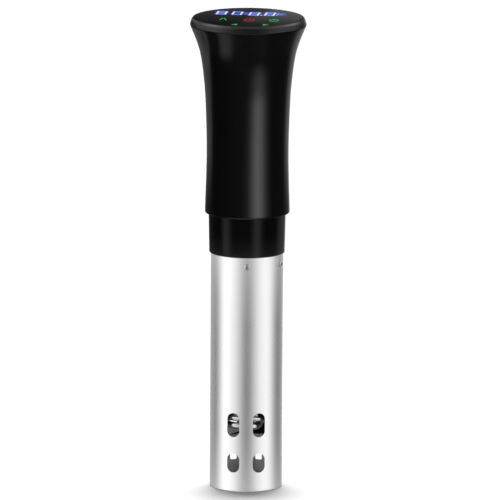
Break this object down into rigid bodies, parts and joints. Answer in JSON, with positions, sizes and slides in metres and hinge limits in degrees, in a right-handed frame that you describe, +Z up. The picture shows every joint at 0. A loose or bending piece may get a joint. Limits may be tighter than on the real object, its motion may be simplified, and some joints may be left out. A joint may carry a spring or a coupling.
{
  "type": "immersion circulator",
  "caption": "Stick-shaped water heater and stirrer for low-temperature cooking: slotted steel sleeve, collar and flared handle with a round touch panel.",
  "frame": {"origin": "centre of the sleeve's foot, on the plane that it stands on", "axes": "+Z up along the sleeve's axis, -Y towards the user's side of the touch panel, +X to the user's right"},
  "size_m": [0.0888, 0.0888, 0.3627],
  "materials": {
    "sleeve_steel": "satin stainless tube",
    "bright_steel": "polished stainless",
    "heater_steel": "polished stainless heater tube",
    "motor_steel": "plated steel",
    "aluminium_plate": "plain aluminium",
    "bush_brass": "turned brass",
    "core_grey": "ferrite core",
    "gloss_black": "high-gloss black moulding",
    "satin_black": "satin black moulding",
    "black_plastic": "black moulding",
    "grey_plastic": "grey moulding",
    "white_plastic": "off-white moulding",
    "circuit_board": "green solder mask",
    "post_foam": "conducting foam",
    "seal_rubber": "black rubber",
    "panel_glass": "black-printed touch glass"
  },
  "bodies": {
    "body": {"sleeve": "sleeve_steel", "foot_cap": "black_plastic", "sleeve_screw_1": "bright_steel", "sleeve_screw_2": "bright_steel", "sleeve_screw_3": "bright_steel", "sleeve_screw_4": "bright_steel", "bulkhead": "black_plastic", "bulkhead_seal_ring": "seal_rubber", "collar": "gloss_black", "handle_shell": "gloss_black", "cord_gland": "seal_rubber", "cord_gland_nut": "grey_plastic", "motor_plate": "aluminium_plate", "motor_can": "motor_steel", "motor_end_cap": "black_plastic", "motor_screw_1": "bright_steel", "motor_screw_2": "bright_steel", "tie_screw_1": "bright_steel", "tie_screw_2": "bright_steel", "tie_screw_3": "bright_steel", "chassis": "grey_plastic", "power_board": "circuit_board", "transformer": "core_grey", "relay": "black_plastic", "capacitor": "black_plastic", "terminal_block": "white_plastic", "heat_sink": "aluminium_plate", "power_switch_triac": "black_plastic", "bezel": "satin_black", "touch_glass": "panel_glass", "display_carrier": "grey_plastic", "display_board": "circuit_board", "led_display": "black_plastic", "touch_post_1": "post_foam", "touch_post_2": "post_foam", "touch_post_3": "post_foam", "touch_post_4": "post_foam", "touch_post_5": "post_foam", "buzzer": "black_plastic", "guide_tube": "bright_steel", "guide_bush": "bush_brass", "shaft_seal": "seal_rubber", "shaft_bearing": "bright_steel", "heater_coil": "heater_steel", "heater_nut_1": "bush_brass", "heater_nut_2": "bush_brass", "temperature_probe": "bright_steel", "level_electrode_1": "bright_steel", "level_electrode_2": "bright_steel"},
    "rotor": {"motor_shaft": "bright_steel", "shaft_coupling": "bush_brass", "pump_shaft": "bright_steel", "propeller": "black_plastic", "propeller_nut": "bright_steel"}
  },
  "joints": [
    {"name": "rotor_spin", "type": "hinge", "parent": "body", "child": "rotor", "pos_m": [0, 0, 0.044], "axis": [0, 0, 1], "continuous": true}
  ]
}
